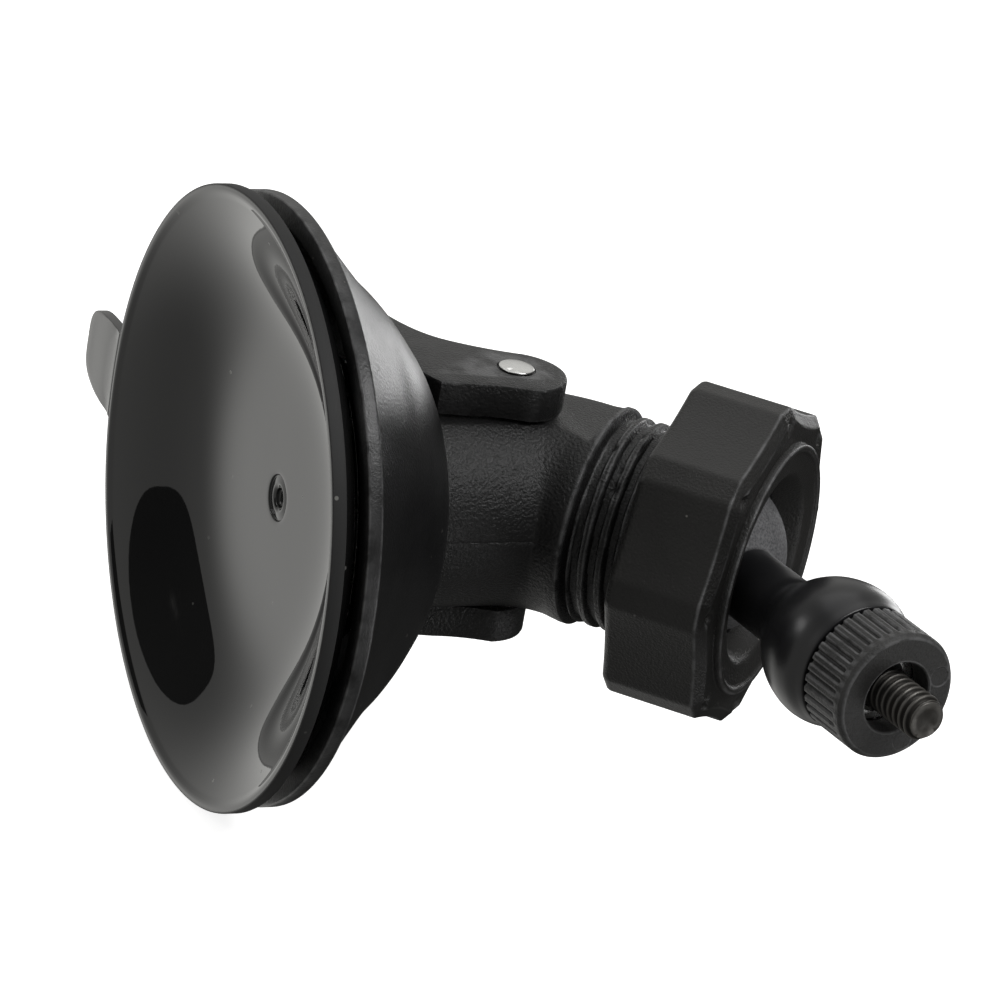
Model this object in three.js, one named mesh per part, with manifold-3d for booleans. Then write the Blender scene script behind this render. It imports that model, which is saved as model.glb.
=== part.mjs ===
// Windscreen suction mount for a dash camera: suction disc, cam lever, 45 degree elbow,
// ball joint with a clamp nut, and a 1/4-20 camera stud with a knurled lock ring.
// Millimetres. Origin: centre of the sealing plane on the glass. +X points from the glass
// towards the arm, +Z is the lever pin's axis, and the elbow bends towards -Y.
import * as THREE from 'three';
import { mergeVertices } from 'three/addons/utils/BufferGeometryUtils.js';
import Module from 'manifold-3d';

const wasm = await Module();
wasm.setup();

// ---------- driving dimensions ----------
const GAP = 0.3; // between pieces that touch

// sides of the round pieces
const SIDES_DISC = 48;
const SIDES_TUBE = 36;
const SIDES_SMALL = 24;

// suction disc
const DISC_R = 42.5;
const DISC_EDGE = 2.0; // thickness of the free edge
const DISH_DEPTH = 9.3; // centre of the dish, pulled up by the lever
const DISC_WALL = 3.0;
const LIP_IN_R = 41.4; // inner edge of the flat sealing lip
const DISH_BEND_R = 24.4; // the dish is flat inside this, and a cone outside it
const DISH_BEND = 2.5; // softness of the bend
const DISH_SLOPE = 0.55;
const TAB_HALF = 6.3;
const TAB_TIP = 55.9;
const TAB_Z = -0.5; // the pull tab sits a little below the middle

// housing
const FLANGE_R = 41.8;
const FLANGE_X0 = 5.3;
const FLANGE_X1 = 7.35;
const HUB_R = 20;
const HUB_X = 26.3;
const POST_R = 15.2;
const POST_FLAT = 13.8; // half thickness across the post's flats
const SLIDE_GAP = 0.35;
const STROKE = 5; // how far the lever pulls the post

// disc core and spring
const CORE_X = 12.65;
const CORE_T = 3.2;
const CORE_R = 20.4;
const SHANK_R = 6.2;
const SHANK_END = 46.6;
const SPRING_R = 18.2;
const SPRING_WIRE = 0.7;
const SPRING_TURNS = 2.5;

// lever and pin
const PIN_X = 41.4;
const PIN_R = 2.0;
const PIN_HEAD_R = 2.45;
const PIN_HEAD_H = 0.4;
const CHEEK_Z0 = 14.15;
const CHEEK_Z1 = 19.1;
const CAM_REACH = HUB_X; // the cam's face stands GAP off the hub
const LEVER_TIP_Y = 44;
const WEB_Y = 21.5; // the web between the cheeks starts here, clear of the post
const WEB_T = 2.8;

// elbow, measured along the nut's axis from the corner of the two axes
const ELBOW_X = 47.3;
const ELBOW_ANGLE = 45;
const BEND_R = 15.7;
const COLLAR_END = 10.6;
const THREAD_CREST = 14.8;
const THREAD_ROOT = 13.9;
const THREAD_PITCH = 2.5;
const TUBE_END = 25.8;
const SOCKET_R = 11.8;
const SOCKET_FLOOR = 12.5;

// ball joint
const BALL_T = 25.6; // ball centre along the nut's axis
const BALL_R = 11.5;
const ARM_TILT = 35.3; // from the nut's axis, further towards -Y
const NECK_R = 5.0;
const BOSS_R = 10.1;
const BOSS_END = 37.5;
const RING_T0 = 26.1;
const RING_T1 = 30.6;
const RING_OUT = 14.2;

// clamp nut
const NUT_T0 = 20.1;
const NUT_BODY = 33.4;
const NUT_FACE = 34.6;
const NUT_LIP = 35.6;
const NUT_CORNER_R = 23.2;
const NUT_CORNER_HALF = 4.7; // half angle of each narrow corner facet
const NUT_SIDES = 8;
const NUT_DISH = 0.45; // how hollow each wide side is
const LIP_R = 17.9;
const MOUTH_R = 13.1;

// stud and lock ring, measured along the arm from the ball centre
const STUD_R = 3.1;
const STUD_ROOT = 2.5;
const STUD_PITCH = 1.27;
const STUD_T0 = 24.5;
const STUD_END = 53.1;
const LOCK_T0 = 37.8;
const LOCK_T1 = 46.3;
const LOCK_R = 9.1;
const LOCK_ROOT = 8.75;
const LOCK_RIDGES = 35;
const LOCK_HOLE = 5.05;
const HEX_AF = 11.1;
const HEX_T1 = 42.4;

// ---------- geometry helpers ----------
const rad = THREE.MathUtils.degToRad;
const V2 = (x, y) => new THREE.Vector2(x, y);

// three.js geometry to a manifold solid, with its faces turned outwards
function solid(geometry) {
  const bare = geometry.index ? geometry.toNonIndexed() : geometry.clone();
  bare.deleteAttribute('normal');
  bare.deleteAttribute('uv');
  const merged = mergeVertices(bare, 1e-4);
  const pos = merged.attributes.position;
  const tris = [];
  let volume = 0;
  const a = new THREE.Vector3();
  const b = new THREE.Vector3();
  const c = new THREE.Vector3();
  for (let i = 0; i < merged.index.count; i += 3) {
    const [p, q, r] = [0, 1, 2].map((k) => merged.index.getX(i + k));
    if (p === q || q === r || r === p) continue;
    tris.push(p, q, r);
    a.fromBufferAttribute(pos, p);
    b.fromBufferAttribute(pos, q);
    c.fromBufferAttribute(pos, r);
    volume += a.dot(b.cross(c));
  }
  if (volume < 0) {
    for (let i = 0; i < tris.length; i += 3) [tris[i + 1], tris[i + 2]] = [tris[i + 2], tris[i + 1]];
  }
  const mesh = new wasm.Mesh({
    numProp: 3,
    vertProperties: new Float32Array(pos.array),
    triVerts: new Uint32Array(tris),
  });
  return new wasm.Manifold(mesh);
}

function toGeometry(manifold) {
  const mesh = manifold.getMesh();
  const geometry = new THREE.BufferGeometry();
  geometry.setAttribute('position', new THREE.BufferAttribute(new Float32Array(mesh.vertProperties), 3));
  geometry.setIndex(new THREE.BufferAttribute(new Uint32Array(mesh.triVerts), 1));
  return geometry;
}

// a closed outline of [radius, distance along X] turned about X
function turned(points, segments) {
  const outline = points.map(([r, x]) => V2(r, x));
  const onAxis = points[0][0] === 0 && points[points.length - 1][0] === 0;
  if (!onAxis) outline.push(outline[0].clone());
  return solid(new THREE.LatheGeometry(outline, segments).rotateZ(-Math.PI / 2));
}

// an outline in the XY plane given a thickness from z0 to z1
function plate(shape, z0, z1, curveSegments = 10) {
  const geometry = new THREE.ExtrudeGeometry(shape, { depth: z1 - z0, bevelEnabled: false, curveSegments });
  return solid(geometry.translate(0, 0, z0));
}

// the same, with the outline in the YZ plane and the thickness along X
function plateX(shape, x0, x1, curveSegments = 10) {
  const geometry = new THREE.ExtrudeGeometry(shape, { depth: x1 - x0, bevelEnabled: false, curveSegments });
  return solid(geometry.rotateX(Math.PI / 2).rotateZ(Math.PI / 2).translate(x0, 0, 0));
}

function box(x0, x1, y0, y1, z0, z1) {
  const geometry = new THREE.BoxGeometry(x1 - x0, y1 - y0, z1 - z0);
  return solid(geometry.translate((x0 + x1) / 2, (y0 + y1) / 2, (z0 + z1) / 2));
}

function pinAlongZ(x, r, z0, z1, segments = 24) {
  const geometry = new THREE.CylinderGeometry(r, r, z1 - z0, segments).rotateX(Math.PI / 2);
  return solid(geometry.translate(x, 0, (z0 + z1) / 2));
}

function ball(r, x, segments = 24) {
  return solid(new THREE.SphereGeometry(r, segments, segments / 2).rotateZ(Math.PI / 2).translate(x, 0, 0));
}

// ridges of a thread as [radius, position] pairs, root and crest in turn
function ridges(crest, root, pitch, from, to) {
  const points = [];
  for (let x = from; x + pitch <= to + 1e-6; x += pitch) {
    points.push([root, x], [crest, x + pitch / 2]);
  }
  return points;
}

// ---------- suction disc, core and spring ----------
function dishX(r) {
  const bend = Math.log(1 + Math.exp((r - DISH_BEND_R) / DISH_BEND));
  return Math.max(DISH_DEPTH - DISH_SLOPE * DISH_BEND * bend, 0);
}

function suctionDisc() {
  const face = [0, 14, 18, 20.5, 23, 25.5, 28, 31, 40.9].map((r) => [r, dishX(r)]);
  const back = [38.2, 31, 28, 25.5, 23, 20.5, 18, 0].map((r) => [r, Math.max(dishX(r) + DISC_WALL, 4.9)]);
  const outline = [...face, [LIP_IN_R, 0], [DISC_R, 0], [DISC_R, DISC_EDGE], [39.4, 2.4], ...back];
  const shoulder = TAB_TIP - 5.4;
  const tab = new THREE.Shape();
  tab.moveTo(38, TAB_Z - TAB_HALF);
  tab.lineTo(shoulder, TAB_Z - TAB_HALF + 0.3);
  tab.bezierCurveTo(shoulder + 3.6, TAB_Z - TAB_HALF + 0.5, TAB_TIP, TAB_Z - 3.6, TAB_TIP, TAB_Z);
  const top = TAB_Z + TAB_HALF - 0.3;
  tab.bezierCurveTo(TAB_TIP, TAB_Z + 3.6, shoulder + 3.6, top - 0.2, shoulder, top);
  tab.lineTo(38, TAB_Z + TAB_HALF);
  const inside = turned([[0, -1], [41.5, -1], [41.5, 3], [0, 3]], SIDES_DISC);
  const pull = plateX(tab, 0.4, DISC_EDGE - 0.1).subtract(inside);
  return turned(outline, SIDES_DISC).add(pull);
}

function discCore() {
  const body = turned([
    [0, CORE_X], [CORE_R - 8, CORE_X], [CORE_R, CORE_X - 0.1 + 0.6], [CORE_R, CORE_X + CORE_T],
    [SHANK_R, CORE_X + CORE_T], [SHANK_R, SHANK_END - 0.6], [SHANK_R - 0.6, SHANK_END], [0, SHANK_END],
  ], SIDES_SMALL);
  return body.subtract(pinAlongZ(PIN_X, PIN_R + 0.1, -10, 10));
}

function returnSpring() {
  const start = CORE_X + CORE_T + SPRING_WIRE + 0.15;
  const end = HUB_X - 2.7 - SPRING_WIRE - 0.15;
  const points = [];
  const steps = 20 * SPRING_TURNS;
  for (let i = 0; i <= steps; i += 1) {
    const t = i / steps;
    const angle = t * SPRING_TURNS * 2 * Math.PI;
    const x = start + (end - start) * t;
    points.push(new THREE.Vector3(x, SPRING_R * Math.cos(angle), SPRING_R * Math.sin(angle)));
  }
  const wire = new THREE.Shape().absarc(0, 0, SPRING_WIRE, 0, 2 * Math.PI, false);
  const path = new THREE.CatmullRomCurve3(points);
  return solid(new THREE.ExtrudeGeometry(wire, { extrudePath: path, steps, curveSegments: 3 }));
}

// ---------- housing ----------
function postSection(r, flat) {
  const y = Math.sqrt(r * r - flat * flat);
  const corner = Math.atan2(flat, y);
  const shape = new THREE.Shape();
  shape.absarc(0, 0, r, -corner, corner, false);
  shape.absarc(0, 0, r, Math.PI - corner, Math.PI + corner, false);
  return shape;
}

function cupHousing() {
  const shell = turned([
    [38.9, FLANGE_X0], [FLANGE_R, FLANGE_X0], [FLANGE_R, FLANGE_X1], [40.6, 7.7], [32.3, 15.4],
    [29.7, 18.4], [27.5, 20.45], [25.6, 22.1], [22.9, 24.2], [21.0, 25.6], [HUB_R - 0.6, HUB_X],
    [10, HUB_X], [10, HUB_X - 2.6], [20.6, HUB_X - 2.6], [24.8, 20.4], [28.6, 15.6], [38.3, 6.6],
  ], SIDES_DISC);
  const hole = plateX(postSection(POST_R + SLIDE_GAP, POST_FLAT + SLIDE_GAP), 20, 30, 14);
  return shell.subtract(hole);
}

// ---------- lever ----------
// Support distance of the cam from the pin when the lever has turned by the angle (radians):
// it shrinks evenly, so the post moves in step with the lever.
const camReach = (angle) => PIN_X - CAM_REACH - GAP - (STROKE / (Math.PI / 2)) * angle;

function leverOutline() {
  const rate = STROKE / (Math.PI / 2);
  const shape = new THREE.Shape();
  // the rounded pin end, then the outer edge out to the tip
  shape.moveTo(PIN_X, -6.8);
  shape.absarc(PIN_X, -0.6, 6.2, -Math.PI / 2, rad(62), false);
  shape.quadraticCurveTo(PIN_X - 1.6, 6.9, PIN_X - 6, 10);
  shape.quadraticCurveTo(PIN_X - 10.6, 13.2, PIN_X - 12.5, 21.9);
  shape.quadraticCurveTo(PIN_X - 14.6, 33, PIN_X - 20.2, LEVER_TIP_Y - 1.2);
  shape.quadraticCurveTo(PIN_X - 21.4, LEVER_TIP_Y + 0.6, PIN_X - 22.8, LEVER_TIP_Y - 0.8);
  // back along the inner edge, clear of the dome
  shape.lineTo(PIN_X - 24.2, 38);
  shape.quadraticCurveTo(PIN_X - 19.6, 26, PIN_X - 16, 17);
  shape.lineTo(PIN_X - camReach(0), 13.2);
  // the cam, an even spiral round the pin
  for (const degrees of [0, 8, 16, 24, 32]) {
    const turn = rad(degrees);
    const side = Math.PI + turn;
    const reach = camReach(turn);
    const x = PIN_X + reach * Math.cos(side) + rate * Math.sin(side);
    const y = reach * Math.sin(side) - rate * Math.cos(side);
    shape.lineTo(x, y);
  }
  shape.lineTo(PIN_X - 8, -4.9);
  shape.quadraticCurveTo(PIN_X - 4, -5.1, PIN_X, -6.8);
  return shape;
}

function camLever() {
  const outline = leverOutline();
  const cheeks = plate(outline, CHEEK_Z0, CHEEK_Z1, 6).add(plate(outline, -CHEEK_Z1, -CHEEK_Z0, 6));
  const web = plate(outline, -CHEEK_Z0 - 0.5, CHEEK_Z0 + 0.5, 6).subtract(box(0, 60, -20, WEB_Y, -30, 30));
  // the web between the cheeks is a wall along the outer edge
  const hollow = plate(outline, -CHEEK_Z0, CHEEK_Z0, 6).translate([-WEB_T, 0.4, 0]);
  const lever = cheeks.add(web.subtract(hollow.subtract(box(0, 60, LEVER_TIP_Y - 3.5, 60, -30, 30))));
  return lever.subtract(pinAlongZ(PIN_X, PIN_R + 0.1, -30, 30));
}

function leverPin() {
  const tail = CHEEK_Z1 + 0.1;
  return pinAlongZ(PIN_X, PIN_R, -tail - 0.05, tail + 0.05)
    .add(pinAlongZ(PIN_X, PIN_HEAD_R, tail, tail + PIN_HEAD_H, 32))
    .add(pinAlongZ(PIN_X, PIN_HEAD_R - 0.1, -tail - PIN_HEAD_H, -tail, 32));
}

// ---------- elbow ----------
const toNutAxis = (manifold) => manifold.rotate([0, 0, -ELBOW_ANGLE]).translate([ELBOW_X, 0, 0]);

function elbowArm() {
  const tangent = BEND_R * Math.tan(rad(ELBOW_ANGLE / 2));
  const post = turned([
    [0, CORE_X + CORE_T + GAP], [POST_R, CORE_X + CORE_T + GAP], [POST_R, ELBOW_X - tangent],
    [0, ELBOW_X - tangent],
  ], SIDES_TUBE);
  // the bend, as a slice of a torus about a line parallel to Z
  const section = [];
  for (let i = 0; i <= SIDES_TUBE; i += 1) {
    const angle = (2 * Math.PI * i) / SIDES_TUBE;
    section.push(V2(BEND_R + POST_R * Math.cos(angle), POST_R * Math.sin(angle)));
  }
  const ringOf = new THREE.LatheGeometry(section, 48).rotateX(Math.PI / 2);
  const bend = solid(ringOf.translate(ELBOW_X - tangent, -BEND_R, 0));
  const far = 60 * Math.tan(rad(90 - ELBOW_ANGLE));
  const wedge = new THREE.Shape([V2(0, 0), V2(0, 40), V2(40, 40), V2(60, far)]);
  const slice = plate(wedge, -20, 20).translate([ELBOW_X - tangent, -BEND_R, 0]);
  const start = tangent - 0.01;
  const collar = toNutAxis(turned([
    [0, start], [POST_R, start], [POST_R, COLLAR_END - 0.4], [POST_R - 0.4, COLLAR_END],
    [THREAD_ROOT, COLLAR_END + 0.2],
    ...ridges(THREAD_CREST, THREAD_ROOT, THREAD_PITCH, COLLAR_END + 0.6, TUBE_END - 1),
    [THREAD_ROOT, TUBE_END], [0, TUBE_END],
  ], SIDES_TUBE));
  const socket = toNutAxis(turned([
    [0, SOCKET_FLOOR], [SOCKET_R, SOCKET_FLOOR], [SOCKET_R, TUBE_END + 1], [0, TUBE_END + 1],
  ], SIDES_SMALL));
  // flats for the lever's cheeks, ending in an arc round the pin
  const flat = new THREE.Shape();
  flat.moveTo(0, -30);
  flat.lineTo(PIN_X + 8.6, -30);
  flat.lineTo(PIN_X + 8.9, -11.6);
  flat.absarc(PIN_X, 0, 10.6, rad(-28), rad(50), false);
  flat.lineTo(PIN_X + 10.6, 30);
  flat.lineTo(0, 30);
  const bore = turned([
    [0, 10], [SHANK_R + GAP, 10], [SHANK_R + GAP, SHANK_END + GAP], [0, SHANK_END + GAP],
  ], SIDES_SMALL);
  return post.add(bend.intersect(slice)).add(collar).subtract(socket).subtract(bore)
    .subtract(plate(flat, POST_FLAT, 30, 12))
    .subtract(plate(flat, -30, -POST_FLAT, 12))
    .subtract(pinAlongZ(PIN_X, PIN_R + 0.1, -30, 30));
}

// ---------- ball joint, along +X from the elbow corner ----------
function ballSeat() {
  const cup = turned([
    [0, SOCKET_FLOOR + GAP], [SOCKET_R - GAP, SOCKET_FLOOR + GAP], [SOCKET_R - GAP, BALL_T - 5.2],
    [0, BALL_T - 5.2],
  ], SIDES_SMALL);
  return cup.subtract(ball(BALL_R + GAP, BALL_T));
}

function clampRing() {
  const ring = turned([
    [9, RING_T0], [RING_OUT - 0.3, RING_T0], [RING_OUT, RING_T0 + 0.6], [RING_OUT - 0.9, RING_T1],
    [9, RING_T1],
  ], SIDES_SMALL);
  const split = box(RING_T0 - 1, RING_T1 + 1, 0, 20, -0.9, 0.9);
  return ring.subtract(ball(BALL_R + GAP, BALL_T)).subtract(split);
}

function nutOutline() {
  const shape = new THREE.Shape();
  const step = 360 / NUT_SIDES;
  const at = (degrees, r) => [r * Math.sin(rad(degrees)), r * Math.cos(rad(degrees))];
  const middle = NUT_CORNER_R * Math.cos(rad(step / 2 - NUT_CORNER_HALF)) - 2 * NUT_DISH;
  for (let k = 0; k < NUT_SIDES; k += 1) {
    const corner = k * step;
    const first = at(corner - NUT_CORNER_HALF, NUT_CORNER_R);
    const second = at(corner + NUT_CORNER_HALF, NUT_CORNER_R);
    const next = at(corner + step - NUT_CORNER_HALF, NUT_CORNER_R);
    const hollow = at(corner + step / 2, middle);
    if (k === 0) shape.moveTo(...first);
    shape.lineTo(...second);
    shape.quadraticCurveTo(...hollow, ...next);
  }
  return shape;
}

function clampNut() {
  const round = turned([
    [0, NUT_T0], [NUT_CORNER_R - 0.8, NUT_T0], [NUT_CORNER_R + 0.1, NUT_T0 + 0.9],
    [NUT_CORNER_R + 0.1, NUT_BODY], [NUT_CORNER_R - 1.6, NUT_FACE], [LIP_R + 0.2, NUT_FACE],
    [LIP_R, NUT_LIP], [0, NUT_LIP],
  ], SIDES_TUBE);
  const body = plateX(nutOutline(), NUT_T0 - 1, NUT_LIP + 1, 3).intersect(round);
  const bore = turned([
    [0, NUT_T0 - 1], [THREAD_CREST + 0.8, NUT_T0 - 1], [THREAD_CREST + 0.4, NUT_T0 + 0.8],
    [THREAD_CREST + 0.4, TUBE_END + 0.4], [RING_OUT + 0.4, TUBE_END + 0.8], [RING_OUT + 0.4, RING_T0 + 1.6],
    [RING_OUT - 0.5, RING_T1 + GAP], [10.9, RING_T1 + GAP], [MOUTH_R, NUT_FACE + 0.2],
    [LIP_R - 1, NUT_LIP - 0.3],
    [LIP_R - 0.8, NUT_LIP + 1], [0, NUT_LIP + 1],
  ], SIDES_TUBE);
  return body.subtract(bore);
}

// ---------- arm, stud and lock ring, along +X from the ball centre ----------
function ballArm() {
  const neckStart = Math.sqrt(BALL_R * BALL_R - NECK_R * NECK_R);
  const body = turned([
    [0, 6], [NECK_R, 6], [NECK_R, neckStart], [NECK_R, 18], [NECK_R + 0.15, 20.6], [5.7, 22.6],
    [6.9, 24.5], [8.2, 26.4], [9.2, 28.4], [BOSS_R - 0.25, 30.6], [BOSS_R, 32.6], [9.9, 34.6], [9.35, 36.3],
    [9, BOSS_END], [0, BOSS_END],
  ], SIDES_SMALL);
  const hole = turned([
    [0, STUD_T0 - GAP], [STUD_R + GAP, STUD_T0 - GAP], [STUD_R + GAP, BOSS_END + 1],
    [0, BOSS_END + 1],
  ], SIDES_SMALL);
  return ball(BALL_R, 0, 28).add(body).subtract(hole);
}

function threadedStud() {
  return turned([
    [0, STUD_T0], [STUD_R, STUD_T0],
    [STUD_R, HEX_T1 + 0.2], ...ridges(STUD_R, STUD_ROOT, STUD_PITCH, HEX_T1 + 0.3, STUD_END - 0.9),
    [STUD_R - 0.35, STUD_END], [0, STUD_END],
  ], SIDES_SMALL);
}

function hexShape(acrossFlats) {
  const corner = acrossFlats / Math.sqrt(3);
  const at = (degrees) => V2(corner * Math.cos(rad(degrees)), corner * Math.sin(rad(degrees)));
  return new THREE.Shape([0, 60, 120, 180, 240, 300].map(at));
}

function lockRingNut() {
  const hole = turned([[0, 0], [STUD_R + 0.25, 0], [STUD_R + 0.25, 60], [0, 60]], SIDES_SMALL);
  return plateX(hexShape(HEX_AF), LOCK_T0 + GAP, HEX_T1).subtract(hole);
}

function lockRing() {
  const shape = new THREE.Shape();
  const step = 360 / LOCK_RIDGES;
  for (let k = 0; k < LOCK_RIDGES; k += 1) {
    [[0, LOCK_R], [0.5, LOCK_R], [0.75, LOCK_ROOT]].forEach(([part, r]) => {
      const angle = rad((k + part) * step);
      const point = [r * Math.cos(angle), r * Math.sin(angle)];
      if (k === 0 && part === 0) shape.moveTo(...point);
      else shape.lineTo(...point);
    });
  }
  const knurl = plateX(shape, LOCK_T0, LOCK_T1 - 1.7);
  const body = turned([
    [0, LOCK_T0], [LOCK_ROOT, LOCK_T0], [LOCK_ROOT, LOCK_T1 - 2], [LOCK_R, LOCK_T1 - 1.8],
    [LOCK_R, LOCK_T1 - 0.6],
    [LOCK_R - 0.55, LOCK_T1], [0, LOCK_T1],
  ], SIDES_TUBE);
  const hole = turned([
    [0, LOCK_T0 + 1], [LOCK_HOLE, LOCK_T0 + 1], [LOCK_HOLE, LOCK_T1 + 1], [0, LOCK_T1 + 1],
  ], SIDES_SMALL);
  const pocket = plateX(hexShape(HEX_AF + 0.5), LOCK_T0 - 1, HEX_T1 + GAP);
  return knurl.add(body).subtract(hole).subtract(pocket);
}

// ---------- scene graph ----------
function material(color, roughness, metalness = 0) {
  return new THREE.MeshStandardMaterial({ color, roughness, metalness });
}

const softBlack = () => material(0x2a2b2b, 0.18);
const mouldedBlack = () => material(0x1b1b1b, 0.5);
const grainedBlack = () => material(0x202020, 0.7);
const brightSteel = () => material(0xc9cbcc, 0.25, 1);
const darkSteel = () => material(0x3a3835, 0.45, 1);

function piece(name, manifold, finish) {
  const mesh = new THREE.Mesh(toGeometry(manifold), finish);
  mesh.name = name;
  return mesh;
}

const mount = new THREE.Group();
mount.add(
  piece('suction_disc', suctionDisc(), softBlack()),
  piece('disc_core', discCore(), mouldedBlack()),
  piece('return_spring', returnSpring(), brightSteel()),
  piece('cup_housing', cupHousing(), mouldedBlack()),
  piece('cam_lever', camLever(), grainedBlack()),
  piece('lever_pin', leverPin(), brightSteel()),
  piece('elbow_arm', elbowArm(), grainedBlack()),
);

const nutAxis = new THREE.Group();
nutAxis.position.set(ELBOW_X, 0, 0);
nutAxis.rotation.z = -rad(ELBOW_ANGLE);
nutAxis.add(
  piece('ball_seat', ballSeat(), material(0x303030, 0.8)),
  piece('clamp_ring', clampRing(), mouldedBlack()),
  piece('clamp_nut', clampNut(), grainedBlack()),
);
mount.add(nutAxis);

const armAxis = new THREE.Group();
armAxis.position.set(BALL_T, 0, 0);
armAxis.rotation.z = -rad(ARM_TILT);
armAxis.add(
  piece('ball_arm', ballArm(), mouldedBlack()),
  piece('threaded_stud', threadedStud(), darkSteel()),
  piece('lock_ring_nut', lockRingNut(), darkSteel()),
  piece('lock_ring', lockRing(), grainedBlack()),
);
nutAxis.add(armAxis);

export default mount;
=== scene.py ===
"""Looks of the dash camera suction mount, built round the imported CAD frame.

Lengths are millimetres and objects are made in metres, in the row frame. The places and sizes
of the floor, lights and dark card are metres.
"""
import math

import bmesh
import bpy
import numpy as np
from mathutils import Matrix, Vector


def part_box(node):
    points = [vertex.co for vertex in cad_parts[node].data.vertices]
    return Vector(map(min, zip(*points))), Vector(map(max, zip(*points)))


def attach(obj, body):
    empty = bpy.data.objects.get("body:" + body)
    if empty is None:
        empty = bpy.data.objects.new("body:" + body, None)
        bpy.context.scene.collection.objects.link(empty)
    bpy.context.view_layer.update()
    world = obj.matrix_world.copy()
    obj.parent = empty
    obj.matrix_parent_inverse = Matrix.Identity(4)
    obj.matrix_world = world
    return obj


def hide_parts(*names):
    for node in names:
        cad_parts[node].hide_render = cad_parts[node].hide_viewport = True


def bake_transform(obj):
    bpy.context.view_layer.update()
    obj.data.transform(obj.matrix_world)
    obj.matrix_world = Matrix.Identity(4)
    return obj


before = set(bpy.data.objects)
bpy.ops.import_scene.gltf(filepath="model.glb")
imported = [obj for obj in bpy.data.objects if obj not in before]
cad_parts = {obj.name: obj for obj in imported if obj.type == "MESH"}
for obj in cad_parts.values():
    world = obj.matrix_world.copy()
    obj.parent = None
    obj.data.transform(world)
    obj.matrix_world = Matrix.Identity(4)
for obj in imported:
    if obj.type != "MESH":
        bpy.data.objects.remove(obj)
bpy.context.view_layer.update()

MM = 0.001

# ---------- sizes, as in the CAD apart from the dish's bend ----------
DISC_R, DISH_DEPTH, DISC_WALL, DISC_EDGE = 42.5, 9.3, 3.0, 2.0
DISH_BEND_R, DISH_BEND, DISH_SLOPE = 25.1, 2.9, 0.647
DISH_EASE, DISH_EASE_R, DISH_EASE_W = 0.415, 30.2, 11.6  # how the cone eases off towards the lip
TAB_HALF, TAB_TIP, TAB_Z = 6.3, 55.9, -0.5
HUB_X, POST_R, POST_FLAT, SLIDE_GAP = 26.3, 15.2, 13.8, 0.35
CORE_X, CORE_T, CORE_R, SHANK_R, SHANK_END = 12.65, 3.2, 20.4, 6.2, 46.6
SPRING_R, SPRING_WIRE, SPRING_TURNS = 18.2, 0.7, 2.5
PIN_X, PIN_R, PIN_HEAD_R, PIN_HEAD_H, CHEEK_Z0, CHEEK_Z1 = 41.4, 2.0, 2.45, 0.4, 14.15, 19.1
LEVER_TIP_Y, WEB_Y, WEB_T, STROKE, GAP = 44, 21.5, 2.8, 5, 0.3
ELBOW_X, ELBOW_ANGLE, BEND_R, COLLAR_END = 47.3, 45, 15.7, 10.6
THREAD_CREST, THREAD_ROOT, THREAD_PITCH, TUBE_END = 14.8, 13.9, 2.5, 25.8
SOCKET_R, SOCKET_FLOOR = 11.8, 12.5
BALL_T, BALL_R, ARM_TILT, NECK_R, BOSS_R, BOSS_END = 25.6, 11.5, 35.3, 5.0, 10.1, 37.5
RING_T0, RING_T1, RING_OUT = 26.1, 30.6, 14.2
NUT_T0, NUT_BODY, NUT_FACE, NUT_LIP, NUT_CORNER_R = 20.1, 33.4, 34.6, 35.6, 23.2
NUT_CORNER_HALF, NUT_DISH, LIP_R, MOUTH_R = 4.7, 0.45, 17.9, 13.1
STUD_R, STUD_ROOT, STUD_PITCH, STUD_T0, STUD_END = 3.1, 2.5, 1.27, 24.5, 53.1
LOCK_T0, LOCK_T1, LOCK_R, LOCK_RIDGES, LOCK_HOLE = 37.8, 46.3, 9.1, 35, 5.05
HEX_AF, HEX_T1 = 11.1, 42.4

rad = math.radians

# ---------- small surface features ----------
CUT_REACH = 30  # half length of a cutting rod, past every wall
# dents beside the nut's front corners
NUT_DENT_R, NUT_DENT, NUT_DENT_HALF, NUT_DENT_TALL = 20.9, 0.85, 0.95, 0.85
SEAM_DEPTH, SEAM_HALF = 0.13, 0.09  # parting line of the elbow
COLLAR_FLARE = 0.35
SHOULDER = 0.25  # softness of the flats' edges
GATE_AT = rad(247)
MARK_R, MARK_DEPTH, EJECTOR_AT = 6.9, 0.1, (rad(20), rad(-70))
# knocks on the first turns of the elbow's thread: angle, depth, half angle, place along the axis
NICKS = [(rad(116), 0.5, 0.05, COLLAR_END + 1.7), (rad(128), 0.35, 0.04, COLLAR_END + 4.1),
         (rad(140), 0.55, 0.06, COLLAR_END + 4.6), (rad(100), 0.4, 0.05, COLLAR_END + 4.3)]

NUT_AXIS = Matrix.Translation((ELBOW_X, 0, 0)) @ Matrix.Rotation(-rad(ELBOW_ANGLE), 4, "Z")
ARM_AXIS = NUT_AXIS @ Matrix.Translation((BALL_T, 0, 0)) @ Matrix.Rotation(-rad(ARM_TILT), 4, "Z")
ROW = Matrix.Identity(4)


# ---------- mesh helpers ----------
def smooth(t):
    t = min(max(t, 0.0), 1.0)
    return t * t * (3 - 2 * t)


def lerp(a, b, t):
    return a + (b - a) * t


def span(a, b, n):
    return [lerp(a, b, i / (n - 1)) for i in range(n)]


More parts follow.
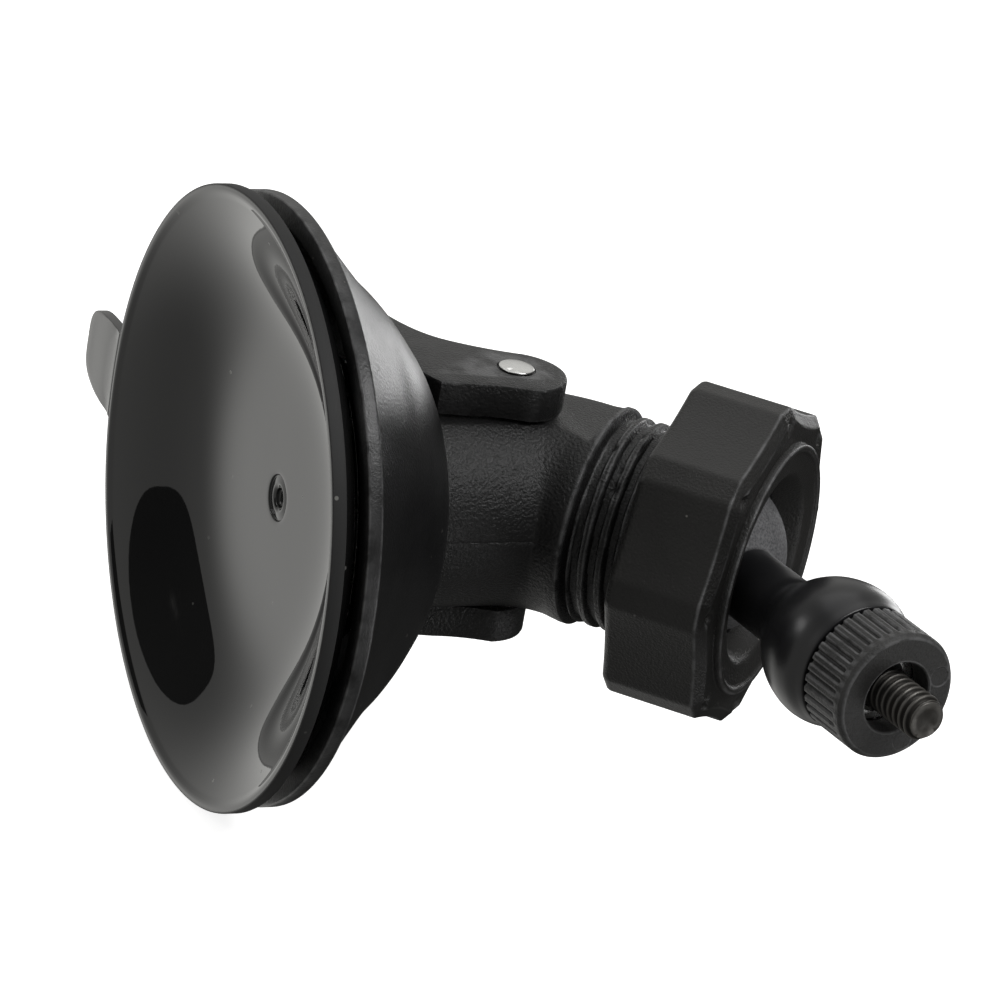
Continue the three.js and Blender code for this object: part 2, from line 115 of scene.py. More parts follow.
def make(name, verts, faces, matrix=ROW, sharp=32):
    """A mesh object from millimetre points, smooth apart from its hard edges."""
    mesh = bpy.data.meshes.new(name)
    mesh.from_pydata([tuple((matrix @ Vector(v)) * MM) for v in verts], [], faces)
    bm = bmesh.new()
    bm.from_mesh(mesh)
    bmesh.ops.remove_doubles(bm, verts=bm.verts, dist=2e-6)
    bmesh.ops.dissolve_degenerate(bm, edges=bm.edges, dist=1e-6)
    bmesh.ops.recalc_face_normals(bm, faces=bm.faces)
    bm.to_mesh(mesh)
    bm.free()
    mesh.shade_smooth()
    mesh.set_sharp_from_angle(angle=rad(sharp))
    piece = bpy.data.objects.new(name, mesh)
    bpy.context.scene.collection.objects.link(piece)
    return piece


def mark_edges(mesh, passes=3):
    """Stores how sharply each point stands out, as the wear attribute: 0 flat, 1 on convex edges; the
    plastics take it for rubbed edges, the steels for a painted highlight on their crests.
    """
    n = len(mesh.vertices)
    co, normal = np.zeros(n * 3), np.zeros(n * 3)
    mesh.vertices.foreach_get("co", co)
    mesh.vertex_normals.foreach_get("vector", normal)
    co, normal = co.reshape(-1, 3) / MM, normal.reshape(-1, 3)
    edge = np.zeros(len(mesh.edges) * 2, int)
    mesh.edges.foreach_get("vertices", edge)
    a, b = np.concatenate([edge[0::2], edge[1::2]]), np.concatenate([edge[1::2], edge[0::2]])
    step = co[a] - co[b]
    bend = (normal[a] * step).sum(1) / np.maximum((step ** 2).sum(1), 0.01)
    count = np.maximum(np.bincount(a, minlength=n), 1)
    value = np.clip((np.bincount(a, bend, n) / count - 0.15) / 0.8, 0, 1)
    for _ in range(passes):
        value = 0.5 * value + 0.5 * np.bincount(a, value[b], n) / count
    field = mesh.attributes.get("wear") or mesh.attributes.new("wear", "FLOAT", "POINT")
    field.data.foreach_set("value", np.clip(value * 1.6, 0, 1).astype(np.float32))


def fillet(points, steps=5):
    """[radius, position, round] corners to a smooth outline."""
    out = []
    for i, p in enumerate(points):
        size = p[2] if len(p) > 2 else 0
        if not size or i in (0, len(points) - 1):
            out.append(Vector(p[:2]))
            continue
        corner, before, after = Vector(p[:2]), Vector(points[i - 1][:2]), Vector(points[i + 1][:2])
        a = corner + (before - corner).normalized() * min(size, (before - corner).length * 0.49)
        b = corner + (after - corner).normalized() * min(size, (after - corner).length * 0.49)
        for t in span(0, 1, steps):
            out.append(a.lerp(corner, t).lerp(corner.lerp(b, t), t))
    return [(v.x, v.y) for v in out]


def polar(name, rows, angles, matrix=ROW, sharp=32, closed=False):
    """A surface round +X. Each row gives (radius, x) at an angle; rows of radius 0 close on the axis."""
    count = len(angles)
    verts, faces = [], []
    for row in rows:
        for a in angles:
            r, x = row(a) if callable(row) else row
            verts.append((x, r * math.cos(a), r * math.sin(a)))
    pairs = list(zip(range(len(rows) - 1), range(1, len(rows))))
    if closed:
        pairs.append((len(rows) - 1, 0))
    for i, j in pairs:
        for k in range(count):
            m = (k + 1) % count
            faces.append((i * count + k, i * count + m, j * count + m, j * count + k))
    return make(name, verts, faces, matrix, sharp)


def turn(n):
    return [2 * math.pi * i / n for i in range(n)]


def curve_points(points, n=12):
    """Catmull-Rom through the points."""
    out = []
    for i in range(len(points) - 1):
        p = [Vector(points[min(max(i + k, 0), len(points) - 1)]) for k in (-1, 0, 1, 2)]
        for s in range(n):
            t = s / n
            square = (2 * p[0] - 5 * p[1] + 4 * p[2] - p[3]) * t * t
            cube = (3 * p[1] - p[0] - 3 * p[2] + p[3]) * t ** 3
            out.append(0.5 * (2 * p[1] + (p[2] - p[0]) * t + square + cube))
    out.append(Vector(points[-1]))
    return [tuple(v) for v in out]


def boolean(piece, others, operation):
    for other in others:
        modifier = piece.modifiers.new("cut", "BOOLEAN")
        modifier.operation = operation
        modifier.solver = "EXACT"
        modifier.object = other
    graph = bpy.context.evaluated_depsgraph_get()
    mesh = bpy.data.meshes.new_from_object(piece.evaluated_get(graph))
    piece.modifiers.clear()
    old = piece.data
    piece.data = mesh
    bpy.data.meshes.remove(old)
    for other in others:
        bpy.data.objects.remove(other)
    mesh.shade_smooth()
    mesh.set_sharp_from_angle(angle=rad(32))
    return piece


# ---------- materials ----------
class Nodes:
    """A short way to build a node material."""

    def __init__(self, name):
        self.material = bpy.data.materials.new(name)
        self.material.use_nodes = True
        self.tree = self.material.node_tree
        self.shader = self.tree.nodes["Principled BSDF"]
        self.coords = self.add("ShaderNodeTexCoord").outputs["Object"]

    def add(self, kind, inputs=None, **settings):
        node = self.tree.nodes.new(kind)
        for key, value in settings.items():
            setattr(node, key, value)
        for key, value in (inputs or {}).items():
            if isinstance(value, bpy.types.NodeSocket):
                self.tree.links.new(value, node.inputs[key])
            else:
                node.inputs[key].default_value = value
        return node

    def noise(self, scale, detail=4, rough=0.55, stretch=None):
        vector = self.coords
        if stretch:
            vector = self.add("ShaderNodeMapping", {"Vector": vector, "Scale": stretch}).outputs[0]
        return self.add("ShaderNodeTexNoise", {"Vector": vector, "Scale": scale, "Detail": detail,
                                               "Roughness": rough}).outputs["Fac"]

    def spots(self, scale, size):
        """Small specks: 1 inside a cell's middle."""
        far = self.add("ShaderNodeTexVoronoi", {"Vector": self.coords, "Scale": scale}).outputs["Distance"]
        return self.ramp(far, [(size, 1), (size * 1.25, 0)])

    def ramp(self, fac, stops):
        node = self.add("ShaderNodeValToRGB", {"Fac": fac})
        band = node.color_ramp
        while len(band.elements) < len(stops):
            band.elements.new(0.5)
        for element, (place, value) in zip(band.elements, stops):
            element.position = place
            element.color = (*value, 1) if isinstance(value, tuple) else (value, value, value, 1)
        return node.outputs["Color"]

    def math(self, operation, a, b, clamp=False):
        return self.add("ShaderNodeMath", {0: a, 1: b}, operation=operation, use_clamp=clamp).outputs[0]

    def mix(self, fac, a, b):
        first, second = [v if isinstance(v, bpy.types.NodeSocket) else (*v, 1) for v in (a, b)]
        return self.add("ShaderNodeMix", {0: fac, 6: first, 7: second}, data_type="RGBA").outputs[2]

    def step(self, value, start, end, low=0.0, high=1.0):
        """low to high as the value goes from start to end."""
        inputs = {0: value, 1: start, 2: end, 3: low, 4: high}
        return self.add("ShaderNodeMapRange", inputs).outputs[0]

    def edges(self, low, high):
        """1 on convex edges, from the mesh's own shape."""
        point = self.add("ShaderNodeAttribute", attribute_name="wear").outputs["Fac"]
        return self.ramp(point, [(low, 0), (high, 1)])

    def set(self, **values):
        names = {"color": "Base Color", "rough": "Roughness", "metal": "Metallic", "coat": "Coat Weight",
                 "coat_rough": "Coat Roughness", "ior": "IOR", "specular": "Specular IOR Level"}
        for key, value in values.items():
            socket = self.shader.inputs[names[key]]
            if isinstance(value, bpy.types.NodeSocket):
                self.tree.links.new(value, socket)
            else:
                socket.default_value = (*value, 1) if isinstance(value, tuple) else value
        return self

    def bump(self, *layers):
        """(height, depth in mm) layers, one on top of another."""
        normal = None
        for height, depth in layers:
            inputs = {"Height": height, "Distance": depth * MM, "Strength": 1.0}
            if normal:
                inputs["Normal"] = normal
            normal = self.add("ShaderNodeBump", inputs).outputs["Normal"]
        self.tree.links.new(normal, self.shader.inputs["Normal"])
        return self


def soft_disc_material():
    """Smoky glossy plastic with haze and dust."""
    m = Nodes("smoky_soft_plastic")
    cloud = m.noise(35, 3)
    haze = m.noise(260, 5)
    dust = m.math("MULTIPLY", m.spots(210, 0.055), m.ramp(m.noise(60, 2), [(0.5, 0), (0.6, 1)]))
    base = m.mix(cloud, (0.011, 0.0112, 0.0116), (0.017, 0.017, 0.017))
    away = m.add("ShaderNodeVectorMath", {0: m.coords, 1: (0.0, 1.0, 1.0)}, operation="MULTIPLY").outputs[0]
    far = m.add("ShaderNodeVectorMath", {0: away}, operation="LENGTH").outputs["Value"]
    # the moulded rim is matt, and the tab beyond it is less so
    edge = m.step(far, (DISC_R - 0.45) * MM, (DISC_R - 0.1) * MM, 0.0, 0.62)
    tab = m.step(far, (DISC_R + 0.15) * MM, (DISC_R + 0.5) * MM, 1.0, 0.3)
    edge = m.math("MULTIPLY", edge, tab)
    gloss = m.math("ADD", m.math("MULTIPLY", haze, 0.05), m.math("MULTIPLY", dust, 0.4))
    m.set(color=m.mix(dust, base, (0.2, 0.2, 0.19)), ior=1.5, rough=m.math("ADD", gloss, edge, True))
    return m.bump((m.noise(28, 2), 0.06), (m.noise(700, 3), 0.0012)).material


def plastic(name, dark, light, rough, grain, depth, wear=0.12, fine=None):
    """Black moulded plastic: cloudy colour, a pebbled grain, rubbed edges and a little dust."""
    m = Nodes(name)
    cloud = m.ramp(m.noise(70, 4), [(0.3, 0), (0.7, 1)])
    pebbles = m.noise(grain, 2, 0.5)
    scuff = m.ramp(m.noise(420, 6, 0.7, (1, 0.25, 1)), [(0.62, 0), (0.78, 1)])
    rubbed = m.math("MULTIPLY", m.edges(0.2, 0.7), m.ramp(m.noise(380, 4), [(0.35, 0.15), (0.6, 1)]))
    dust = m.math("MULTIPLY", m.spots(260, 0.045), m.ramp(m.noise(90, 2), [(0.5, 0), (0.6, 1)]))
    base = m.mix(cloud, dark, light)
    base = m.mix(m.math("MULTIPLY", rubbed, wear * 4, True), base, (0.11, 0.11, 0.112))
    base = m.mix(dust, base, (0.22, 0.21, 0.2))
    low = m.math("ADD", m.math("MULTIPLY", cloud, 0.06), rough - 0.03)
    m.set(color=base, ior=1.48, rough=m.math("ADD", low, m.math("MULTIPLY", scuff, 0.08), True))
    layers = [(pebbles, depth), (m.noise(grain * 2.7, 2), depth * 0.3), (scuff, -0.006)]
    if fine:
        layers.append((m.noise(60, 2), fine))
    return m.bump(*layers).material


def steel(name, dark, light, rough, dirt):
    """Streaked metal with stains, and its crests and convex edges painted lighter as a painted highlight."""
    m = Nodes(name)
    streak = m.noise(500, 6, 0.65, (1, 1, 0.3))
    stain = m.ramp(m.noise(330, 5), [(0.42, 0), (0.62, 1)])
    base = m.mix(streak, dark, light)
    base = m.mix(m.math("MULTIPLY", stain, dirt, True), base, (0.05, 0.045, 0.04))
    # painted highlight: the crests and convex edges are painted lighter
    crest = m.edges(0.2, 0.7)
    base = m.mix(m.math("MULTIPLY", crest, 0.7), base, tuple(min(c * 3.2, 0.93) for c in light))
    m.set(color=base, metal=1.0, rough=m.math("ADD", m.math("MULTIPLY", stain, 0.2), rough, True))
    return m.bump((streak, 0.006), (m.noise(2600, 3), 0.002)).material


def ball_material(axis_point):
    """Fine dull texture on the ball, a smoother neck and boss past the ball."""
    m = Nodes("ball_and_neck")
    inputs = {0: m.coords, 1: tuple(axis_point)}
    offset = m.add("ShaderNodeVectorMath", inputs, operation="SUBTRACT").outputs[0]
    far = m.add("ShaderNodeVectorMath", {0: offset}, operation="LENGTH").outputs["Value"]
    neck = m.step(far, (BALL_R + 0.25) * MM, (BALL_R + 0.7) * MM)
    cloud = m.noise(90, 4)
    ball = m.mix(m.ramp(m.noise(3000, 2), [(0.35, 0), (0.65, 1)]), (0.07, 0.07, 0.074), (0.17, 0.17, 0.176))
    stem = m.mix(cloud, (0.007, 0.007, 0.008), (0.013, 0.013, 0.0145))
    m.set(color=m.mix(neck, ball, stem), ior=1.5, rough=m.step(neck, 0.0, 1.0, 0.62, 0.3))
    grain = m.math("MULTIPLY", m.noise(3600, 3), m.math("SUBTRACT", 1.15, neck))
    return m.bump((grain, 0.03), (m.noise(900, 3), 0.004)).material


SOFT = soft_disc_material()
SATIN = plastic("satin_black_housing", (0.006, 0.006, 0.0065), (0.011, 0.011, 0.0115), 0.34, 2600, 0.05,
                0.25, 0.02)
GRAIN = plastic("grained_black", (0.007, 0.007, 0.0072), (0.013, 0.013, 0.0132), 0.38, 2400, 0.2, 0.3)
NUTTY = plastic("fine_grained_black", (0.01, 0.0097, 0.0092), (0.017, 0.0164, 0.0156), 0.42, 3000, 0.11, 0.3)
KNURL = plastic("matte_black_ring", (0.018, 0.0175, 0.017), (0.032, 0.0315, 0.031), 0.5, 2800, 0.12, 0.35)
INNER = plastic("plain_black_moulding", (0.014, 0.014, 0.015), (0.024, 0.024, 0.025), 0.5, 2400, 0.01, 0.1)
SEAT = plastic("seat_black", (0.02, 0.02, 0.02), (0.035, 0.035, 0.034), 0.7, 2000, 0.02, 0.1)
BRIGHT = steel("bright_plated_steel", (0.72, 0.72, 0.71), (0.93, 0.93, 0.92), 0.16, 0.06)
DARK = steel("blackened_steel", (0.018, 0.0175, 0.0165), (0.05, 0.048, 0.045), 0.42, 0.4)


def finish(piece, node, body, material):
    piece.data.materials.clear()
    piece.data.materials.append(material)
    mark_edges(piece.data)
    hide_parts(node)
    if body:
        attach(piece, body)
    return piece


# ---------- suction disc ----------
def dish_slope(r):
    """How steeply the dish falls towards the glass at a radius."""
    ease = 1 - DISH_EASE * smooth((r - DISH_EASE_R) / DISH_EASE_W)
    return DISH_SLOPE / (1 + math.exp((DISH_BEND_R - r) / DISH_BEND)) * ease


def dish_x(r):
    """The dish: flat in the middle, bending into a cone that eases off towards the sealing lip."""
    steps = 60
    drop = sum(dish_slope(r * (k + 0.5) / steps) for k in range(steps)) * r / steps
    return max(DISH_DEPTH - drop, 0)


def tab_reach(angle):
    """How far the pull tab's outline stands from the axis at an angle from +Y."""
    low, high = DISC_R, TAB_TIP + 0.3
    c, s = math.cos(angle), math.sin(angle)
    if c < 0.9:
        return DISC_R

    def inside(r):
        y, z = r * c, r * s - TAB_Z
        along = (y - 38) / (TAB_TIP - 38)
        return along < 1 and abs(z) < TAB_HALF * (1 - max(along, 0) ** 4) ** 0.25

    if not inside(low + 0.05):
        return DISC_R
    for _ in range(24):
        middle = (low + high) / 2
        low, high = (middle, high) if inside(middle) else (low, middle)
    return low


def suction_disc():
    angles = [rad(a) for a in span(-12, 12, 121)] + [rad(a) for a in span(12, 348, 241)[1:-1]]
    reach = {a: tab_reach(a) for a in angles}
    rows = [(r, DISH_DEPTH + x) for r, x in fillet([
        (0, 0.95), (1.2, 0.9, 0.3), (1.35, 0.35, 0.1), (1.9, 0.1, 0.3), (2.9, 0.28, 0.2), (3.1, 0.3, 0.1),
        (3.25, 0.02, 0.1), (3.7, 0.0)])]
    rows += [(r, dish_x(r) * smooth((41.9 - r) / 1.2)) for r in span(4.2, 41.6, 90)]

    def leaf_x(r, depth, extra):
        """The rim's depth along X, thinning and curling into the tab's leaf where there is one."""
        leaf = smooth((r - 42.2) / 2.5) if extra > 0.3 else 0
        curl = 0.35 * smooth((r - 46) / 10)
        return lerp(depth, lerp(0.4, 1.9, depth / DISC_EDGE), leaf) + curl * leaf

    def rim(part, depth):
        """A row of the rim, from part 0 inside to part 1 at the edge."""
        def at(a):
            extra = reach[a] - DISC_R
            r = lerp(41.8, DISC_R - 0.25, part) + extra * part
            return r, leaf_x(r, depth, extra)
        return at

    def edge(grow, depth):
        """A row round the rim's outer edge."""
        def at(a):
            extra = reach[a] - DISC_R
            return DISC_R - 0.25 + extra + grow, leaf_x(reach[a], depth, extra)
        return at

    rows += [rim(p, 0.0) for p in span(0, 1, 9)]
    rows += [edge(g, d) for g, d in ((0.12, 0.02), (0.22, 0.1), (0.25, 0.25), (0.25, 1.0), (0.25, 1.78),
                                     (0.2, 1.93), (0.1, 1.99))]
    rows += [rim(p, DISC_EDGE) for p in span(1, 0, 9)]
    rows += [(39.6, 2.25), (39.2, 3.0), (38.4, 4.7)]
    rows += [(r, max(dish_x(r) + DISC_WALL, 4.9)) for r in span(37.6, 0, 40)]
    piece = polar("suction_disc_soft", rows, angles, sharp=40)
    finish(piece, "suction_disc", None, SOFT)
    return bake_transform(piece)


# ---------- housing ----------
def post_reach(angle, r, flat):
    """The post's outline: a circle of radius r with a flat on each side."""
    s = abs(math.sin(angle))
    return min(r, flat / s) if s > 1e-6 else r


def housing():
    dome = curve_points([(40.7, 7.75), (36.5, 11.5), (32.3, 15.4), (29.7, 18.35), (27.5, 20.5), (25.6, 22.1),
                         (22.9, 24.2), (21.0, 25.45), (19.6, 26.15), (18.6, 26.3)], 6)
    outer = fillet([(38.9, 5.3), (41.8, 5.3, 0.3), (41.8, 7.35, 0.35), (40.9, 7.6)], 4) + dome
    inner = fillet([(20.6, 23.7), (21.0, 23.6), (24.8, 20.4, 2), (28.6, 15.6, 2), (38.3, 6.6, 1.0)], 4)

    def hole(grow, x):
        """A row of the hole that the post slides in."""
        return lambda a: (post_reach(a, POST_R + SLIDE_GAP + grow, POST_FLAT + SLIDE_GAP + grow), x)

    rows = [hole(0.35, HUB_X), hole(0.1, HUB_X - 0.1), hole(0.0, HUB_X - 0.35), hole(0.0, 25.0),
            hole(0.0, 23.7)] + inner

    def marked(row):
        """A row of the dome with a faint knit line down its lower front."""
        def at(a):
            r, x = row
            if 21.5 < r < 33 and x > 7.6:
                turn_to = rad(-118) + rad(30) * ((r - 21.5) / 18.5) ** 1.6
                off = (a - 2 * math.pi - turn_to if a > math.pi else a - turn_to) * r
                x -= 0.09 * math.exp(-(off / 0.22) ** 2) * smooth((33 - r) / 4)
            return r, x
        return at

    piece = polar("housing_dome", [marked(row) for row in outer] + rows, turn(360), sharp=38, closed=True)
    return finish(piece, "cup_housing", "cup", SATIN)


# ---------- lever ----------
def quad(p0, p1, p2, n=12):
    """A curve from p0 to p2 that bends towards p1, without its first point."""
    a, b, c = Vector(p0), Vector(p1), Vector(p2)
    return [tuple(a.lerp(b, t).lerp(b.lerp(c, t), t)) for t in span(0, 1, n)[1:]]


def cam_reach(angle):
    """The cam's reach from the pin to the housing, less as the lever opens."""
    return PIN_X - HUB_X - GAP - STROKE / (math.pi / 2) * angle


def lever_edges():
    """The lever's side outline as its outer edge, out to the tip, and its inner edge back to the cam."""
    outer = [(PIN_X + 6.9 * math.cos(a), -0.7 + 6.7 * math.sin(a)) for a in span(rad(-90), rad(62), 28)]
    outer += quad(outer[-1], (PIN_X - 1.6, 6.9), (PIN_X - 6, 10))
    outer += quad(outer[-1], (PIN_X - 10.6, 13.2), (PIN_X - 12.5, 21.9))
    outer += quad(outer[-1], (PIN_X - 14.6, 33), (PIN_X - 20.2, LEVER_TIP_Y - 1.2), 16)
    outer += quad(outer[-1], (PIN_X - 21.4, LEVER_TIP_Y + 0.6), (PIN_X - 22.8, LEVER_TIP_Y - 0.8), 8)
    inner = [(PIN_X - 24.2, 38.0)]
    inner += quad(inner[-1], (PIN_X - 19.6, 26), (PIN_X - 16, 17), 14)
    inner.append((PIN_X - cam_reach(0), 13.2))
    rate = STROKE / (math.pi / 2)
    for t in span(0, rad(32), 9):
        reach, side = cam_reach(t), math.pi + t
        inner.append((PIN_X + reach * math.cos(side) + rate * math.sin(side),
                      reach * math.sin(side) - rate * math.cos(side)))
    inner.append((PIN_X - 8, -5.2))
    inner += quad(inner[-1], (PIN_X - 4, -5.5), (PIN_X, -7.4), 8)[:-1]
    return outer, inner


def inset(points, amount):
    """An outline moved inwards."""
    out = []
    for i, p in enumerate(points):
        a, b = Vector(points[i - 1]), Vector(points[(i + 1) % len(points)])
        d = (b - a).normalized()
        out.append((p[0] - d.y * amount, p[1] + d.x * amount))
    return out


def slab(name, outline, z0, z1, soft):
    """An outline in XY given a thickness, with rounded edges."""
    levels = [(soft, z0), (soft * 0.3, z0 + soft * 0.3), (0, z0 + soft), (0, z1 - soft),
              (soft * 0.3, z1 - soft * 0.3), (soft, z1)]
    verts, faces, n = [], [], len(outline)
    for amount, z in levels:
        verts += [(x, y, z) for x, y in inset(outline, amount)]
    for i in range(len(levels) - 1):
        for k in range(n):
            m = (k + 1) % n
            faces.append((i * n + k, i * n + m, (i + 1) * n + m, (i + 1) * n + k))
    faces.append(tuple(range(n))[::-1])
    faces.append(tuple(range((len(levels) - 1) * n, len(levels) * n)))
    return make(name, verts, faces)


def rod(name, r, z0, z1, n=96):
    """A cylinder along the lever pin."""
    verts = [(PIN_X + r * math.cos(a), r * math.sin(a), z) for z in (z0, z1) for a in turn(n)]
    faces = [(k, (k + 1) % n, n + (k + 1) % n, n + k) for k in range(n)]
    return make(name, verts, faces + [tuple(range(n))[::-1], tuple(range(n, 2 * n))])


def cam_lever():
    outer, inner = lever_edges()
    outline = outer + inner
    top = slab("cam_lever_body", outline, CHEEK_Z0, CHEEK_Z1, 0.5)
    low = slab("cheek", outline, -CHEEK_Z1, -CHEEK_Z0, 0.5)
    back = [p for p in outer if p[1] > WEB_Y]
    web = back + [(PIN_X - 23.4, 40.7)]
    web += [(x - WEB_T, y + 0.4) for x, y in reversed(back) if y < LEVER_TIP_Y - 4.2]
    bridge = slab("web", web, -CHEEK_Z0 - 0.6, CHEEK_Z0 + 0.6, 0.02)
    boolean(top, [low, bridge], "UNION")
    boolean(top, [rod("hole", PIN_R + 0.1, -CUT_REACH, CUT_REACH),
                  rod("sink_a", PIN_HEAD_R + 0.28, CHEEK_Z1 - 0.22, CUT_REACH),
                  rod("sink_b", PIN_HEAD_R + 0.28, -CUT_REACH, -CHEEK_Z1 + 0.22)], "DIFFERENCE")
    return finish(top, "cam_lever", "lever", GRAIN)


def lever_pin():
    z = CHEEK_Z1 + 0.1 + PIN_HEAD_H
    ends = [(0, z, 0), (1.0, z - 0.02, 0.3), (1.9, z - 0.1, 0.3), (PIN_HEAD_R, z - 0.22, 0.15),
            (PIN_HEAD_R, z - 0.4, 0.1), (PIN_R, z - 0.42), (PIN_R, 0)]
    profile = fillet(ends)
    profile += [(r, -x) for r, x in reversed(profile[:-1])]

    def dented(row):
        """A row with a small dent in the upper head."""
        def at(a):
            r, x = row
            dent = math.exp(-(((r * math.cos(a) + 1.2) / 0.45) ** 2 + ((r * math.sin(a) - 1.5) / 0.5) ** 2))
            return r, x - 0.16 * dent * (1 if x > 0 else 0)
        return at

    upright = Matrix.Translation((PIN_X, 0, 0)) @ Matrix.Rotation(-math.pi / 2, 4, "Y")
    fine = []
    for (r0, x0), (r1, x1) in zip(profile, profile[1:]):
        fine += [(lerp(r0, r1, t), lerp(x0, x1, t)) for t in (0, 0.25, 0.5, 0.75)]
    piece = polar("lever_pin_steel", [dented(row) for row in fine + [profile[-1]]], turn(96), upright)
    return finish(piece, "lever_pin", "lever", BRIGHT)


# ---------- elbow ----------
def thread_profile(phase, crest=0.3, slope=0.22):
    """0 at the root and 1 on the crest, for a phase 0..1 along one pitch."""
    p = abs((phase % 1.0) - 0.5) * 2
    return 1 - smooth((p - crest) / (2 * slope))


def elbow():
    angles = turn(288)
    tangent = BEND_R * math.tan(rad(ELBOW_ANGLE / 2))
    corner = Vector((ELBOW_X - tangent, -BEND_R))
    stations = []
    for x in span(CORE_X + CORE_T + GAP, ELBOW_X - tangent, 60):
        stations.append((Vector((x, 0)), Vector((0, 1)), None))
    for t in span(0, rad(ELBOW_ANGLE), 34)[1:]:
        across = Vector((math.sin(t), math.cos(t)))
        stations.append((corner + across * BEND_R, across, None))
    along = Vector((math.cos(rad(ELBOW_ANGLE)), -math.sin(rad(ELBOW_ANGLE))))
    across = Vector((-along.y, along.x))
    for t in span(tangent, COLLAR_END - 0.4, 10)[1:] + span(COLLAR_END - 0.3, TUBE_END, 92):
        stations.append((Vector((ELBOW_X, 0)) + along * t, across, t))

    def radius(t, a):
        """The round outline: the post, the collar, and the thread with its knocks."""
        if t is None:
            return POST_R
        if t < COLLAR_END - 0.35:
            return POST_R + COLLAR_FLARE * smooth((t - 6.5) / 3)
        step = smooth((t - COLLAR_END + 0.35) / 0.6)
        turns = (t - COLLAR_END - 0.3) / THREAD_PITCH - a / (2 * math.pi)
        ridge = THREAD_ROOT + (THREAD_CREST - THREAD_ROOT) * thread_profile(turns, 0.28, 0.2)
        ridge = lerp(THREAD_ROOT, ridge, smooth((t - COLLAR_END - 0.2) / 0.9))
        ridge = lerp(ridge, THREAD_ROOT - 0.2, smooth((t - TUBE_END + 0.9) / 0.9))
        for place, deep, wide, at in NICKS:
            off = (a - place + math.pi) % (2 * math.pi) - math.pi
            ridge -= deep * math.exp(-(off / wide) ** 2 - ((t - at) / 0.5) ** 2)
        return lerp(POST_R + COLLAR_FLARE, ridge, step)

    def flat_limit(x, y):
        """How high the surface may stand: the flats run round the bend and end at the collar."""
        reach = (Vector((x - ELBOW_X, y))).dot(along)
        return POST_FLAT - 0.5 * smooth((x - PIN_X - 4) / 5) + 2.3 * smooth((reach - 8.9) / 0.9)

    verts, faces, n = [], [], len(angles)
    for centre, side, t in stations:
        for a in angles:
            r = radius(t, a)
            x, y = centre + side * (r * math.cos(a))
            z = r * math.sin(a)
            if t is None or t < COLLAR_END - 0.3:
                limit = flat_limit(x, y)
                over = abs(z) - limit
                if over > -SHOULDER:
                    z = math.copysign(limit - SHOULDER * math.exp(-(over + SHOULDER) / SHOULDER), z)
                # parting line on both sides of the moulding
                seam = math.exp(-(z / SEAM_HALF) ** 2)
                x, y = Vector((x, y)) + side * (SEAM_DEPTH * seam * (1 if math.cos(a) < 0 else -1))
            verts.append((x, y, z))
    rows = len(stations)

    def ring(r, x=None, t=None):
        """An extra ring: about X at x, or about the nut's axis at t."""
        centre, side = Vector((x or 0, 0)), Vector((0, 1))
        if t is not None:
            centre, side = Vector((ELBOW_X, 0)) + along * t, across
        for a in angles:
            p = centre + side * (r * math.cos(a))
            verts.append((p.x, p.y, r * math.sin(a)))

    for r, t in ((THREAD_ROOT - 0.5, TUBE_END), (SOCKET_R + 0.4, TUBE_END), (SOCKET_R, TUBE_END - 0.4),
                 (SOCKET_R, SOCKET_FLOOR + 0.5), (SOCKET_R - 0.5, SOCKET_FLOOR), (0, SOCKET_FLOOR)):
        ring(r, t=t)
    start = len(verts) // n
    base = CORE_X + CORE_T + GAP
    for r, x in ((0, SHANK_END + GAP), (SHANK_R + GAP, SHANK_END + GAP), (SHANK_R + GAP, base + 0.4),
                 (SHANK_R + GAP + 0.4, base), (POST_FLAT - 0.6, base)):
        ring(r, x=x)
    end = len(verts) // n
    order = list(range(start, end)) + list(range(rows)) + list(range(rows, start))
    for i, j in zip(order, order[1:]):
        for k in range(n):
            m = (k + 1) % n
            faces.append((i * n + k, i * n + m, j * n + m, j * n + k))
    piece = make("elbow_moulding", verts, faces, sharp=40)
    boolean(piece, [rod("pin_hole", PIN_R + 0.12, -CUT_REACH, CUT_REACH)], "DIFFERENCE")
    return finish(piece, "elbow_arm", "stem", GRAIN)


# ---------- clamp nut ----------
def nut_reach(angle):
    """The nut's outline: eight hollowed faces and cut corners, softened over nearby angles."""
    step, half = rad(45), rad(22.5 - NUT_CORNER_HALF)
    total = 0
    taps = (-0.9, -0.45, 0, 0.45, 0.9)
    for tap in taps:
        a = (angle + rad(tap) + step / 2) % step - step / 2
        if abs(a) < rad(NUT_CORNER_HALF):
            total += NUT_CORNER_R * math.cos(rad(NUT_CORNER_HALF)) / math.cos(a)
        else:
            off = abs(a) - step / 2
            bow = 1 - (math.tan(off) / math.tan(half)) ** 2
            total += NUT_CORNER_R * math.cos(half) / math.cos(off) - NUT_DISH * bow
    return total / len(taps)


def corner_dent(a, r):
    """Depth of the dents beside the nut's front corners."""
    near = (a - math.pi / 2 + rad(22.5)) % rad(45) - rad(22.5)
    away = (near * r / NUT_DENT_HALF) ** 2 + ((r - NUT_DENT_R) / NUT_DENT_TALL) ** 2
    return NUT_DENT * math.exp(-away ** 1.5)


